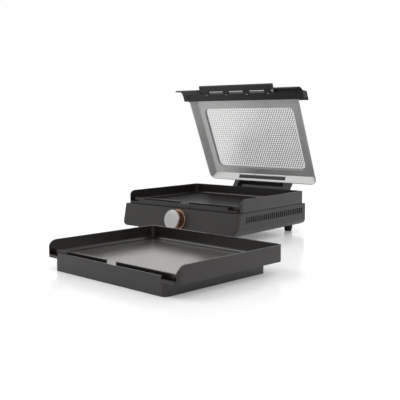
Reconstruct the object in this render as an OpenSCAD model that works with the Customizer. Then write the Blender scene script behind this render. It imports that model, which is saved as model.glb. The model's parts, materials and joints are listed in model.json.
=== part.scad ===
// Countertop indoor grill: a housing with a heated well, a lift-out ribbed plate,
// a hinged hood with a mesh window, a dial, a drip tray and a spare flat plate.
// Millimetres. +Z is up, the front of the grill faces -Y.
// The origin lies on the table, under the middle of the whole set.

/* [Cooking plates] */
// Width of a plate over its side walls
plate_w = 377.5; // [360:0.5:400]
// Depth of a plate, front to back
plate_d = 293.5; // [275:0.5:320]
// Height of a plate from its foot to the rim of its walls
plate_h = 58; // [52:0.5:66]
// Thickness of a plate's side and back walls
plate_wall = 4; // [3:0.25:5]
// Radius of a plate's upright outer corners
plate_corner = 12; // [9:0.5:16]
// Height of the underside of a plate's flange above its foot
flange_z = 24.5; // [22:0.5:27]
// Thickness of the cooking surface
deck_t = 4; // [3.5:0.25:5]
// Radius of the curve where a side wall runs down at the front
wall_arc = 24.5; // [16:0.5:28]
// How far the sunk body stops short of a plate's sides
body_side = 28.25; // [26:0.25:34]
// How far the sunk body stops short of a plate's back
body_back = 20; // [14:1:28]
// Height of the front apron above a plate's foot
apron_z = 36.5; // [34:0.5:39]
// Radius of the curve between a plate's walls and its cooking surface
floor_r = 8; // [5:0.5:10]
// Thickness of the apron's lip in front of the gutter
lip_t = 3; // [2.5:0.25:4]
// Width of the grease gutter behind the lip
gutter_w = 10; // [8:0.5:12]
// Height of the ridge behind the gutter, above a plate's foot
ridge_z = 40; // [39.5:0.5:43]
// Width of the pouring notch in the ridge
notch_w = 31; // [20:1:40]
// Diameter of the grease hole at each end of the gutter
drain_d = 7; // [5:0.5:8]
// Length of the lowered stretch of lip at each front corner
dip_l = 34; // [26:1:38]
// Width of a rib of the ribbed plate
rib_w = 4; // [3:0.25:5]
// Height of a rib of the ribbed plate
rib_h = 5; // [3.5:0.25:6]
// Pitch of the ribs of the ribbed plate
rib_pitch = 12.5; // [10:0.5:16]

/* [Housing] */
// Ledge of the housing beside the plate, on each side
side_ledge = 4.25; // [3:0.25:6]
// Ledge of the housing in front of the plate
front_ledge = 10; // [9:0.25:12]
// Ledge of the housing behind the plate
rear_ledge = 6.5; // [5:0.25:10]
// Height of the housing's rim above the table
rim_z = 76.5; // [75:0.5:82]
// Height of the housing's underside above the table
under_z = 19; // [18:0.5:21]
// How far the foot of the front panel lies ahead of its top edge
front_rake = 12; // [9:0.5:14]
// Radius along the lower edges of the two sides
skirt_r = 22; // [16:1:26]
// Radius of the upright corners
upright_r = 9; // [7:0.5:12]
// Wall thickness of the housing
wall = 2.4; // [2:0.1:3]
// Number of vent slots in each side
vent_count = 28; // [18:1:28]
// Pitch of the vent slots
vent_pitch = 9.4; // [8.6:0.1:9.6]
// Width of a vent slot
vent_w = 5.4; // [3.5:0.1:6]
// Height of a vent slot
vent_h = 15; // [11:0.5:17]
// Height of the middle of the vent band above the table
vent_z = 59.5; // [56:0.5:62]
// How far the feet stand in from the sides of the floor opening
foot_in = 0.5; // [0.5:0.25:3]
// Distance from the housing's front and rear to the middle of a foot
foot_end = 26; // [25:0.5:34]
// Diameter of a rubber foot at its top
foot_d = 25; // [20:0.5:26]

/* [Heating] */
// Gap between a plate's sunk body and the well around it
well_gap = 2.5; // [2:0.25:3]
// Height of the well's floor above the table
well_z = 46; // [45:0.5:47]
// Sheet thickness of the well
well_t = 1; // [0.8:0.1:1.2]
// Diameter of the heating element's tube
element_d = 7; // [6:0.25:8]
// Distance between neighbouring legs of the element
leg_pitch = 66; // [56:1:70]
// Length of the element's straight legs
leg_l = 196; // [160:1:206]

/* [Dial] */
// Height of the dial's centre above the table
dial_z = 47.5; // [45:0.5:50]
// Diameter of the dial
dial_d = 48; // [42:0.5:50]
// How far the dial's face stands off the front panel
dial_h = 23; // [19:0.5:28]
// Diameter of the dial's shaft
shaft_d = 6; // [5:0.25:6.5]
// Clearance around the shaft
shaft_gap = 0.08; // [0.05:0.01:0.1]
// Diameter of the trim ring round the dial
bezel_d = 54; // [51.5:0.5:56]

/* [Drip tray] */
// Gap between the drip tray's runners and the feet
tray_side = 5; // [3:0.5:12]
// Depth of the drip tray, front to back
tray_d = 158; // [140:1:175]
// Height of the drip tray's trough
tray_h = 11; // [9:0.5:11.5]
// Sheet thickness of the drip tray
tray_t = 1.2; // [1:0.1:1.5]

/* [Lid] */
// Angle to which the lid is open at rest
lid_angle = 66; // [50:1:80]
// How far the lid's rim stops short of the plate's sides
lid_inset = 0.5; // [0:0.25:2]
// Depth of the lid's pan
lid_h = 16.2; // [14:0.2:18]
// Sheet thickness of the lid's pan
lid_t = 1.2; // [1:0.1:1.4]
// How far the pan's walls lean in from rim to top
lid_lean = 16; // [12:0.5:20]
// Radius of the pan's corners
lid_corner = 20; // [14:1:24]
// Width of the steel on each side of the mesh window
mesh_side = 37.25; // [36:0.25:48]
// Width of the steel behind the mesh window
mesh_behind = 38; // [36:0.5:44]
// Width of the steel in front of the mesh window
mesh_ahead = 32; // [30:0.5:40]
// Radius of the mesh window's corners
mesh_r = 15; // [10:1:18]
// Depth of the pressed recess round the mesh window
recess_h = 4; // [3:0.25:5]
// Width of the ledge that carries the mesh
recess_ledge = 3; // [2.5:0.25:4]
// Thickness of the mesh sheet
mesh_t = 0.8; // [0.6:0.1:1]
// How far each end of the front rail reaches past the plate's side
rail_past = 17.25; // [14:0.25:20]
// How far the foot of the front rail's slope lies behind the plate's front
rail_short = 1.5; // [1:0.25:4]
// How far the front rail slopes back from its foot to its top
rail_slope = 23.5; // [21:0.5:25]
// Depth of the front rail's top behind the slope
rail_deck = 24; // [22:0.5:28]
// How far the front rail hangs below the lid's rim
rail_drop = 28; // [26:0.5:29]
// Wall thickness of the rail
rail_t = 2.5; // [2:0.25:3]
// Width of the grip
grip_w = 248; // [220:1:260]
// Depth of the grip, front to back
grip_d = 18; // [15:0.5:22]
// Thickness of the grip
grip_h = 8; // [7:0.5:10]
// Width of the gaps between the rail and the grip
finger_gap = 6; // [5.5:0.25:8]

/* [Hinge] */
// Distance of the hinge line behind the housing
hinge_back = 37; // [34:0.5:42]
// Height of the hinge line above the table
hinge_z = 65; // [62:0.5:66]
// Radius of the knuckles round the hinge pin
knuckle_r = 12; // [10:0.5:13]
// Diameter of the hinge pin
pin_d = 8; // [6:0.25:9]
// Radial wall of the bush on the pin
bush_t = 1.5; // [1.2:0.1:2]
// Radial clearance between the pin and its bushes
pin_gap = 0.05; // [0.02:0.01:0.09]
// Width of the lid's hinge arm
arm_w = 190; // [170:1:200]
// Thickness of each cheek of the hinge arm
cheek_t = 16; // [12:0.5:20]

/* [Spare plate] */
// Distance of the spare plate's middle to the right of the grill's middle
spare_x = 238; // [200:1:300]
// Distance of the spare plate's middle in front of the grill's middle
spare_y = 476; // [440:1:540]
// Angle by which the spare plate is turned, clockwise from above
spare_turn = 4.5; // [0:0.5:15]

/* [Hidden] */
$fn = 48;

// Small clearance between pieces that part from each other
seat_gap = 0.3;
// How far a cut runs past the face it opens
past = 1;

// Housing, from the plate that it carries
base_w = plate_w + 2 * side_ledge;
base_d = plate_d + front_ledge + rear_ledge;
front_y = -base_d / 2;
rear_y = base_d / 2;
rake = atan(front_rake / (rim_z - under_z));
plate_front = front_y + front_ledge;
plate_cy = plate_front + plate_d / 2;
plate_z = rim_z + seat_gap - flange_z;
plate_rim = plate_z + plate_h;
deck_z = flange_z + deck_t;
deck_under = rim_z - wall;
cover_t = 2;
cover_z = under_z + wall;
cover_top = cover_z + cover_t;

// Opening in the housing's floor and the cover that lies over it
floor_half = base_w / 2 - skirt_r - 6;
floor_front = front_y + 3;
floor_back = rear_y - 11;
side_lap = 4;
end_lap = 9;
cover_front = floor_front - end_lap;
cover_back = rear_y - wall - 0.6;

// Screws
screw_d = 3;
tip = 1.5;

// Plate details
gutter_y = lip_t + gutter_w / 2;
ridge_t = 4;
gutter_floor = deck_z - 1;
inner_w = plate_w - 2 * plate_wall;
drain_in = 10;
drain_x = inner_w / 2 - drain_d / 2 - drain_in;
body_w = plate_w - 2 * body_side;
body_d = plate_d - body_back;
body_wall = 4;
body_corner = plate_corner - 2;
body_top = deck_z - deck_t - 1;

// Well that the plate's body hangs in
well_w = body_w + 2 * well_gap;
well_front = plate_front - well_gap;
well_back = plate_front + body_d + well_gap;
ear_out = drain_x + drain_d / 2 + 3;
ear_back = plate_front + gutter_y + drain_d / 2 + 6;
ear_z = well_z + 14;
well_flange = 8;
spout_x = 100;
spout_y = well_front + 11;
spout_d = 12;
spout_low = cover_z - 2.8;

// Heating element
element_z = plate_z + body_top - seat_gap - element_d / 2;
leg_count = 4;
element_y = plate_front + body_d / 2;
element_end = 5;

// Dial
face_y = front_y - (rim_z - dial_z) * tan(rake);
control_w = 20;
control_t = 6;
nut_h = 2;
thread_d = 9;
thread_h = nut_h + 1.5;

// Drip tray and its runners
feet_x = 2 * (floor_half - foot_in - foot_d / 2);
feet_y = rear_y - front_y - 2 * foot_end;
tray_top = cover_z - 4;
tray_front = front_y - front_rake + 10;
tray_rim = 5;
runner_gap = 0.5;
runner_t = 1.5;
runner_flange = 9;
runner_x = feet_x / 2 - foot_d / 2 - tray_side - runner_flange;
tray_w = 2 * (runner_x - runner_gap - tray_rim);

// Lid at its closed place
lid_y = plate_front + plate_d + 3.4;
lid_z = plate_rim + 1.7;
lid_w = plate_w - 2 * lid_inset;
hinge_y = rear_y + hinge_back;
side_gap = 1.5;
rail_w = plate_w + 2 * rail_past;
rail_front = plate_front + rail_short;
rail_crest = rail_front + rail_slope;
rail_lap = 10;
rail_back = rail_crest + rail_deck - rail_lap;
rail_top = lid_z + lid_h + rail_t;
rail_low = lid_z - 1.2;
apron_y = plate_front + 12;
apron_low = lid_z - 16;
lid_l = lid_y - rail_back;
mesh_w = lid_w - 2 * mesh_side;
mesh_l = lid_l - mesh_behind - mesh_ahead;
mesh_y = lid_y - mesh_behind - mesh_l / 2;
recess_w = mesh_w + 2 * recess_ledge;
recess_l = mesh_l + 2 * recess_ledge;
recess_top = lid_z + lid_h + recess_h;
post_w = 18;
post_count = 4;
bracket_w = arm_w - 2 * cheek_t - 2;
washer_t = 1;
arm_top = lid_z + lid_h + 6;
arm_back = lid_y + 19;

// Colours
dark_grey = [0.27, 0.265, 0.255];
coated = [0.2, 0.19, 0.18];
black = [0.12, 0.12, 0.12];
steel = [0.75, 0.75, 0.74];
satin = [0.82, 0.82, 0.81];
copper = [0.66, 0.4, 0.24];
brass = [0.8, 0.66, 0.35];
board_green = [0.12, 0.35, 0.2];
cream = [0.88, 0.85, 0.78];

// Set out: the whole set is centred on the origin
function opened_y(y, z) =
    hinge_y + (y - hinge_y) * cos(lid_angle) + (z - hinge_z) * sin(lid_angle);
spare_half_x = (plate_w / 2 - plate_corner) * cos(spare_turn)
    + (plate_d / 2 - plate_corner) * sin(spare_turn) + plate_corner;
spare_half_y = (plate_w / 2 - plate_corner) * sin(spare_turn)
    + (plate_d / 2 - plate_corner) * cos(spare_turn) + plate_corner;
set_left = -rail_w / 2;
set_right = spare_x + spare_half_x;
set_front = -spare_y - spare_half_y;
set_back = max(opened_y(arm_back, lid_z + 6), opened_y(arm_back - 8, arm_top),
    hinge_y + knuckle_r);
set_shift = [-(set_left + set_right) / 2, -(set_front + set_back) / 2, 0];

// A box between two opposite corners
module slab(low, high) {
    translate(low) cube(high - low);
}

// A rectangle with round corners, centred
module round_rect(w, d, r) {
    square([w - 2 * r, d], center = true);
    square([w, d - 2 * r], center = true);
    for (x = [-1, 1], y = [-1, 1])
        translate([x * (w / 2 - r), y * (d / 2 - r)]) circle(r);
}

// An extruded round rectangle, centred in plan, between two heights
module round_block(w, d, r, low, high) {
    translate([0, 0, low]) linear_extrude(high - low) round_rect(w, d, r);
}

// An outline in the YZ plane, extruded along X and centred on x
module along_x(width, x = 0) {
    translate([x - width / 2, 0, 0]) rotate([90, 0, 90]) linear_extrude(width) children();
}

// An outline in the XZ plane, extruded along Y between two places
module along_y(low, high) {
    translate([0, high, 0]) rotate([90, 0, 0]) linear_extrude(high - low) children();
}

// One wire swept through a list of points, with flat ends
function unit(v) = v / norm(v);
function heading(p, i) = unit(
    (i > 0 ? unit(p[i] - p[i - 1]) : [0, 0, 0])
    + (i < len(p) - 1 ? unit(p[i + 1] - p[i]) : [0, 0, 0]));
function wire_ring(centre, along, d, sides) =
    let (a = unit(cross(along, [0, 0, 1])), b = cross(a, along))
    [for (k = [0 : sides - 1])
        centre + d / 2 * (cos(360 * k / sides) * a + sin(360 * k / sides) * b)];

module wire(points, d) {
    sides = 8;
    last = len(points) - 1;
    rings = [for (i = [0 : last]) each wire_ring(points[i], heading(points, i), d, sides)];
    walls = [for (i = [0 : last - 1], k = [0 : sides - 1])
        [i * sides + k, (i + 1) * sides + k, (i + 1) * sides + (k + 1) % sides, i * sides + (k + 1) % sides]];
    near = [for (k = [0 : sides - 1]) k];
    far = [for (k = [sides - 1 : -1 : 0]) last * sides + k];
    polyhedron(points = rings, faces = concat([near], walls, [far]), convexity = 4);
}

// A pan-head screw, head up, its shank pointing down from the origin
module screw(head_d, head_h, shank_d, shank_l) {
    cylinder(h = head_h, d = head_d);
    translate([0, 0, -shank_l]) cylinder(h = shank_l, d = shank_d);
}

// Puts children that are drawn for the closed lid at the lid's rest angle
module on_lid() {
    translate(set_shift) translate([0, hinge_y, hinge_z]) rotate([-lid_angle, 0, 0])
        translate([0, -hinge_y, -hinge_z]) children();
}

// Puts children on the raked front panel, +Z pointing out of the panel
module on_panel() {
    translate(set_shift) translate([0, face_y, dial_z]) rotate([90 - rake, 0, 0]) children();
}

// Puts children in the grill's own place, in the middle of the base
module on_base() {
    translate(set_shift) children();
}

// Outer form of the housing, shrunk on every side by inset
module housing_form(inset) {
    low = under_z + inset;
    high = rim_z - inset;
    half = base_w / 2 - inset;
    r = skirt_r - inset;
    corner = upright_r - inset;
    intersection() {
        along_y(front_y - 2 * front_rake, rear_y - inset) {
            translate([-half, low + r]) square([2 * half, high - low - r]);
            translate([-half + r, low]) square([2 * (half - r), r + past]);
            for (side = [-1, 1]) translate([side * (half - r), low + r]) circle(r);
        }
        translate([0, front_y, rim_z]) rotate([-rake, 0, 0]) translate([0, inset, -1.5 * rim_z])
            linear_extrude(2.5 * rim_z) front_outline(half, corner);
        translate([0, rear_y - inset, 0]) mirror([0, 1, 0]) linear_extrude(rim_z + past)
            front_outline(half, corner);
    }
}

// A deep rectangle whose near corners are round
module front_outline(half, r) {
    reach = 2 * base_d;
    translate([-half, r]) square([2 * half, reach]);
    translate([-half + r, 0]) square([2 * (half - r), r + past]);
    for (side = [-1, 1]) translate([side * (half - r), r]) circle(r);
}

// Plan of the well: the main basin and an ear under each corner drain
module well_plan(grow) {
    translate([-well_w / 2 - grow, well_front - grow])
        square([well_w + 2 * grow, well_back - well_front + 2 * grow]);
}

module ear_plan(grow) {
    translate([-ear_out - grow, well_front - grow])
        square([2 * ear_out + 2 * grow, ear_back - well_front + 2 * grow]);
}

// Places of the four feet
foot_places = [[-1, -1], [1, -1], [-1, 1], [1, 1]];
function foot_at(i) = [foot_places[i][0] * feet_x / 2, foot_places[i][1] * feet_y / 2, 0];
// Places of the screws that hold the bottom cover to the housing's floor
cover_places = [for (p = [[-1, cover_front + 4.5], [1, cover_front + 4.5], [-1, cover_back - 4],
    [1, cover_back - 4], [0, cover_back - 4]]) [p[0] * (floor_half - 17), p[1], 0]];

module housing() {
    color(dark_grey) on_base() difference() {
        housing_form(0);
        housing_form(wall);
        translate([0, 0, deck_under - past]) linear_extrude(wall + 2 * past) {
            well_plan(0);
            ear_plan(0);
        }
        slab([-floor_half, floor_front, under_z - past], [floor_half, floor_back, cover_z + past]);
        for (i = [0 : vent_count - 1]) vent_slot(i);
        for (p = cover_places) translate(p) cylinder(h = cover_top, d = screw_d);
        for (p = well_screw_places) translate([p[0], p[1], deck_under - past])
            cylinder(h = past + tip, d = screw_d);
        translate([0, face_y, dial_z]) rotate([90 - rake, 0, 0])
            translate([0, 0, -wall - past]) cylinder(h = wall + 2 * past, d = thread_d);
        translate([inlet_x, rear_y + past, inlet_z]) rotate([90, 0, 0])
            cylinder(h = wall + 2 * past, d = inlet_d);
        for (p = bracket_places) translate([p[0], rear_y + past, p[1]]) rotate([90, 0, 0])
            cylinder(h = wall + 2 * past, d = screw_d);
    }
}

module vent_slot(i) {
    y = plate_cy + (i - (vent_count - 1) / 2) * vent_pitch;
    slab([-base_w, y - vent_w / 2, vent_z - vent_h / 2],
        [-base_w / 2 + 2 * wall, y + vent_w / 2, vent_z + vent_h / 2]);
    slab([base_w / 2 - 2 * wall, y - vent_w / 2, vent_z - vent_h / 2],
        [base_w, y + vent_w / 2, vent_z + vent_h / 2]);
}

// Air slots in the bottom cover
slot_count = 11;
slot_pitch = 14;
slot_front = 30;
slot_back = 80;

module bottom_cover() {
    color(black) on_base() difference() {
        slab([-floor_half - side_lap, cover_front, cover_z], [floor_half + side_lap, cover_back, cover_top]);
        for (i = [0 : 3]) translate(foot_at(i)) cylinder(h = rim_z, d = foot_screw_d);
        for (p = concat(cover_places, runner_places)) translate(p) cylinder(h = rim_z, d = screw_d);
        for (side = [-1, 1]) translate([side * spout_x, spout_y, 0])
            cylinder(h = rim_z, d = spout_d + 2 * seat_gap);
        for (p = standoff_places) translate(p) cylinder(h = rim_z, d = stud_d);
        for (i = [0 : slot_count - 1]) translate([(i - (slot_count - 1) / 2) * slot_pitch, 0, 0])
            slab([-slot_pitch / 5, slot_front, 0], [slot_pitch / 5, slot_back, rim_z]);
    }
}

foot_screw_d = 4;
foot_head_z = 7;
foot_tread = 3;
foot_taper = 5;

module foot(i) {
    color(black) on_base() translate(foot_at(i)) difference() {
        union() {
            cylinder(h = foot_tread, d1 = foot_d - foot_taper - 2, d2 = foot_d - foot_taper);
            translate([0, 0, foot_tread]) cylinder(h = cover_z - foot_tread, d1 = foot_d - foot_taper, d2 = foot_d);
        }
        translate([0, 0, -past]) cylinder(h = foot_head_z + past, d = 10);
        cylinder(h = cover_z + past, d = foot_screw_d);
    }
}

module foot_screws() {
    color(steel) on_base() for (i = [0 : 3]) translate(foot_at(i) + [0, 0, foot_head_z])
        mirror([0, 0, 1]) screw(8.4, 2.6, foot_screw_d, cover_top - foot_head_z + 2 * tip);
}

module cover_screws() {
    color(steel) on_base() for (p = cover_places) translate([p[0], p[1], under_z])
        mirror([0, 0, 1]) screw(5.6, 2, screw_d, wall + cover_t + tip);
}

// Element legs run along X; their ends turn down through the well's floor
leg_low = -leg_l / 2;
bend_r = leg_pitch / 2;
function leg_y(i) = element_y + (i - (leg_count - 1) / 2) * leg_pitch;
drop_r = 10;
drop_x = leg_low - drop_r;
element_low = well_z - well_t - element_end;
bushing_d = 14;

module well_pan() {
    color(satin) on_base() difference() {
        union() {
            translate([0, 0, well_z - well_t]) linear_extrude(deck_under - well_z + well_t)
                well_plan(well_t);
            translate([0, 0, ear_z - well_t]) linear_extrude(deck_under - ear_z + well_t)
                ear_plan(well_t);
            slab([-well_w / 2 - well_flange, ear_back + well_t, deck_under - well_t],
                [well_w / 2 + well_flange, well_back + well_flange, deck_under]);
            for (side = [-1, 1]) translate([side * spout_x, spout_y, spout_low])
                cylinder(h = well_z - spout_low, d = spout_d);
        }
        translate([0, 0, well_z]) linear_extrude(rim_z) well_plan(0);
        translate([0, 0, ear_z]) linear_extrude(rim_z) ear_plan(0);
        for (side = [-1, 1]) translate([side * spout_x, spout_y, 0])
            cylinder(h = rim_z, d = spout_d - 2 * well_t);
        for (i = [0, leg_count - 1]) translate([drop_x, leg_y(i), 0])
            cylinder(h = rim_z, d = bushing_d - 4);
        translate([probe_x, element_y, 0]) cylinder(h = rim_z, d = probe_d);
        for (p = well_screw_places) translate(p) cylinder(h = rim_z, d = screw_d);
    }
}

well_screw_places = [for (x = [-1, 1], y = [-0.55, 0.1, 0.8])
    [x * (well_w / 2 + well_flange / 2 + well_t / 2), y * base_d / 2, 0]];

module well_screws() {
    color(steel) on_base() for (p = well_screw_places)
        translate([p[0], p[1], deck_under - well_t]) mirror([0, 0, 1]) screw(5, 2, screw_d, well_t + tip);
}

module heating_element() {
    color([0.45, 0.44, 0.43]) on_base() {
        for (i = [0 : leg_count - 1])
            translate([leg_low, leg_y(i), element_z]) rotate([0, 90, 0]) cylinder(h = leg_l, d = element_d);
        for (i = [0 : leg_count - 2])
            translate([i % 2 == 0 ? -leg_low : leg_low, (leg_y(i) + leg_y(i + 1)) / 2, element_z])
                rotate([0, 0, i % 2 == 0 ? -90 : 90]) rotate_extrude(angle = 180)
                    translate([bend_r, 0]) circle(d = element_d);
        for (i = [0, leg_count - 1]) {
            translate([leg_low, leg_y(i), element_z - drop_r]) rotate([90, 0, 180])
                rotate_extrude(angle = 90) translate([drop_r, 0]) circle(d = element_d);
            translate([drop_x, leg_y(i), element_low])
                cylinder(h = element_z - drop_r - element_low, d = element_d);
        }
    }
}

module element_bushings() {
    color(brass) on_base() for (i = [0, leg_count - 1]) translate([drop_x, leg_y(i), 0])
        difference() {
            union() {
                translate([0, 0, well_z]) cylinder(h = 2, d = bushing_d);
                translate([0, 0, well_z - well_t]) cylinder(h = well_t, d = bushing_d - 4);
                translate([0, 0, well_z - well_t - 3]) cylinder(h = 3, d = bushing_d);
            }
            cylinder(h = rim_z, d = element_d);
        }
}

bracket_x = [-62, 62];

module element_brackets() {
    top = element_z;
    color(satin) on_base() for (x = bracket_x) difference() {
        union() {
            slab([x - 0.75, leg_y(0) - 12, well_z], [x + 0.75, leg_y(3) + 12, top]);
            slab([x - 8, leg_y(0) - 12, well_z], [x + 0.75, leg_y(3) + 12, well_z + 1.5]);
        }
        for (i = [0 : leg_count - 1]) {
            translate([x - past, leg_y(i), element_z]) rotate([0, 90, 0])
                cylinder(h = 2 * past, d = element_d);
            if (i < leg_count - 1) slab([x - 2, leg_y(i) + 14, well_z + 8],
                [x + 2, leg_y(i + 1) - 14, top + past]);
        }
    }
}

// Cold pins of the element, each with a flat tab at its end
pin_l = 6;
tab_l = 6;
tab_low = element_low - pin_l - tab_l;

module element_tabs() {
    color(steel) on_base() for (i = [0, leg_count - 1]) {
        translate([drop_x, leg_y(i), element_low - pin_l]) cylinder(h = pin_l, d = 2.5);
        slab([drop_x - 3.2, leg_y(i) - 0.4, tab_low], [drop_x + 3.2, leg_y(i) + 0.4, element_low - pin_l]);
    }
}

probe_x = 0;
probe_d = 12;

module temperature_probe() {
    top = plate_z + body_top - seat_gap;
    color(satin) on_base() translate([probe_x, element_y, 0]) {
        translate([0, 0, well_z - 8]) cylinder(h = top - well_z + 8 - 3, d = probe_d);
        translate([0, 0, top - 3]) cylinder(h = 3, d = probe_d - 3);
        translate([0, 0, well_z - well_t - 2]) cylinder(h = 2, d = probe_d + 6);
    }
}

module thermal_fuse() {
    y = leg_y(2) + 33;
    z = well_z - well_t;
    color(cream) on_base() {
        translate([34, y, z - 5]) rotate([0, 90, 0]) cylinder(h = 14, d = 4.5);
        slab([39, y - 7, z - 5], [43, y - 2, z]);
        slab([39, y - 7, z - 5], [43, y - 1, z - 4]);
    }
}

board_w = 128;
board_d = 72;
board_y = -60;
board_edge = 6;
board_low = [-board_w / 2, board_y - board_d / 2, cover_top + board_edge];
board_high = [board_w / 2, board_y + board_d / 2, cover_top + board_edge + 1.6];
standoff_places = [for (x = [-1, 1], y = [-1, 1])
    [x * (board_w / 2 - board_edge), board_y + y * (board_d / 2 - board_edge), 0]];
stud_d = 2.5;

module control_board() {
    color(board_green) on_base() {
        difference() {
            slab(board_low, board_high);
            for (p = standoff_places) translate(p) cylinder(h = rim_z, d = stud_d);
        }
        slab([-40, -84, board_high[2]], [-21, -69, board_high[2] + 10]);
        slab([-10, -84, board_high[2]], [12, -54, board_high[2] + 11]);
        for (x = [28, 42]) translate([x, -74, board_high[2]]) cylinder(h = 10, d = 8);
        slab([20, -48, board_high[2]], [48, -36, board_high[2] + 6]);
        for (x = [-44 : 12 : -20]) slab([x, -50, board_high[2]], [x + 6, -40, board_high[2] + 3]);
    }
}

module board_standoffs() {
    color(brass) on_base() for (p = standoff_places) translate([p[0], p[1], 0]) {
        translate([0, 0, cover_top]) cylinder(h = board_low[2] - cover_top, d = 6);
        translate([0, 0, cover_z]) cylinder(h = board_high[2] - cover_z, d = stud_d);
        translate([0, 0, board_high[2]]) cylinder(h = 2, d = 5);
    }
}

block_at = [-92, 112, cover_top];
block_pitch = 14;
block_h = 13;

module terminal_block() {
    color(cream) on_base() translate(block_at) {
        slab([-block_pitch - 4, -9, 0], [block_pitch + 4, 9, 6]);
        for (x = [-1 : 1]) translate([x * block_pitch, 0, 0]) slab([-3.6, -9, 6], [3.6, 9, block_h]);
    }
}

inlet_x = -130;
inlet_z = 42;
inlet_d = 14;

module cord_inlet() {
    color(black) on_base() translate([inlet_x, rear_y, inlet_z]) rotate([-90, 0, 0]) difference() {
        union() {
            cylinder(h = 3, d = inlet_d + 8);
            translate([0, 0, 3]) cylinder(h = 7, d1 = inlet_d + 2, d2 = inlet_d - 1);
            translate([0, 0, -wall]) cylinder(h = wall, d = inlet_d);
            translate([0, 0, -wall - 3]) cylinder(h = 3, d = inlet_d + 5);
        }
        translate([0, 0, -wall - 4]) cylinder(h = 20, d = 7.5);
    }
}

wire_d = 2.2;

module wiring() {
    tab_z = tab_low - wire_d / 2 - seat_gap;
    block_z = block_at[2] + block_h + wire_d / 2;
    board_z = board_high[2] + 3 + wire_d / 2;
    tab_y = leg_y(leg_count - 1);
    relay_z = board_high[2] + 6 + wire_d / 2;
    color([0.7, 0.15, 0.12]) on_base() {
        wire([[block_at[0] - block_pitch, block_at[1], block_z], [drop_x + 1, tab_y + 10, block_z],
            [drop_x, tab_y + 5, tab_z + 4], [drop_x, tab_y, tab_z]], wire_d);
        wire([[block_at[0], block_at[1] - 4, block_z], [-84, 60, block_z], [-80, -20, board_z + 1],
            [-41, -45, board_z]], wire_d);
        wire([[drop_x, leg_y(0), tab_z], [drop_x + 8, leg_y(0) + 14, tab_z + 2],
            [-76, leg_y(0) + 20, board_z + 1], [-41, -52, board_z + 4], [-29, -45, board_z]], wire_d);
        wire([[block_at[0] + block_pitch, block_at[1], block_z], [-20, 92, block_z], [28, 62, block_z],
            [34, -30, relay_z + 4], [34, -42, relay_z]], wire_d);
    }
}

module dial_control() {
    color(black) on_panel() difference() {
        union() {
            translate([-control_w / 2, -control_w / 2, -wall - control_t])
                cube([control_w, control_w, control_t]);
            translate([0, 0, -wall]) cylinder(h = wall + thread_h, d = thread_d);
        }
        translate([0, 0, -wall - control_t - past])
            cylinder(h = wall + control_t + nut_h + 4, d = shaft_d + 2 * shaft_gap);
    }
}

module dial_nut() {
    color(steel) on_panel() difference() {
        cylinder(h = nut_h, d = 14, $fn = 6);
        translate([0, 0, -past]) cylinder(h = nut_h + 2 * past, d = thread_d);
    }
}

bezel_t = 1.4;

module dial_bezel() {
    color(copper) on_panel() difference() {
        union() {
            cylinder(h = bezel_t / 2, d = bezel_d);
            translate([0, 0, bezel_t / 2]) cylinder(h = bezel_t / 2, d1 = bezel_d, d2 = bezel_d - 1.4);
        }
        translate([0, 0, -past]) cylinder(h = bezel_t + 2 * past, d = bezel_d - 8);
    }
}

dial_foot = bezel_t + seat_gap;
sleeve_t = 1.2;
cap_h = 4.5;

module dial_shaft() {
    color(steel) on_panel() translate([0, 0, -wall - control_t + 0.5])
        cylinder(h = dial_h - 4 + wall + control_t - 0.5, d = shaft_d);
}

module dial_body() {
    color(black) on_panel() difference() {
        union() {
            translate([0, 0, dial_foot]) cylinder(h = 2.2, d = dial_d + 1);
            translate([0, 0, dial_foot]) cylinder(h = dial_h - cap_h - dial_foot, d = dial_d - 2 * sleeve_t);
        }
        translate([0, 0, -past]) cylinder(h = thread_h + 1 + past, d = 18);
        cylinder(h = dial_h + past, d = shaft_d);
    }
}

module dial_sleeve() {
    color(copper) on_panel() difference() {
        translate([0, 0, dial_foot + 2.2]) cylinder(h = dial_h - cap_h - dial_foot - 2.2, d = dial_d);
        cylinder(h = dial_h, d = dial_d - 2 * sleeve_t);
    }
}

module dial_cap() {
    color(satin) on_panel() difference() {
        union() {
            translate([0, 0, dial_h - cap_h]) cylinder(h = cap_h - 1.2, d = dial_d);
            translate([0, 0, dial_h - 1.2]) cylinder(h = 1.2, d1 = dial_d, d2 = dial_d - 3);
        }
        cylinder(h = dial_h - 4, d = shaft_d);
        translate([-0.6, dial_d / 2 - 9, dial_h - 0.8]) cube([1.2, 6, past + 0.8]);
    }
}

// Hinge: fixed bracket, pin, washers, bushes and the lid's arm
ear_t = 20;
bracket_t = 4;
bracket_lift = 18;
bracket_screw_in = 14;
bracket_places = [for (x = [-1, 1], z = [0, 1])
    [x * (bracket_w / 2 - ear_t - bracket_screw_in), hinge_z - 10 - z * knuckle_r]];

module hinge_bracket() {
    low = under_z + wall + bracket_lift;
    color(black) on_base() difference() {
        union() {
            slab([-bracket_w / 2, rear_y, low], [bracket_w / 2, rear_y + bracket_t, rim_z - 2]);
            for (side = [-1, 1]) along_x(ear_t, side * (bracket_w / 2 - ear_t / 2)) {
                translate([hinge_y, hinge_z]) circle(knuckle_r);
                polygon([[rear_y + 2, low], [rear_y + 2, rim_z - 2], [hinge_y, hinge_z + knuckle_r],
                    [hinge_y + 4, hinge_z], [hinge_y - 2, hinge_z - knuckle_r + 0.4]]);
            }
        }
        translate([-base_w / 2, hinge_y, hinge_z]) rotate([0, 90, 0]) cylinder(h = base_w, d = pin_d);
        for (p = bracket_places) translate([p[0], rear_y + bracket_t + past, p[1]]) rotate([90, 0, 0])
            cylinder(h = bracket_t + 2 * past, d = screw_d);
    }
}

module bracket_screws() {
    color(steel) on_base() for (p = bracket_places) translate([p[0], rear_y + bracket_t, p[1]])
        rotate([-90, 0, 0]) screw(6, 2.2, screw_d, bracket_t + wall + 1.5);
}

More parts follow.
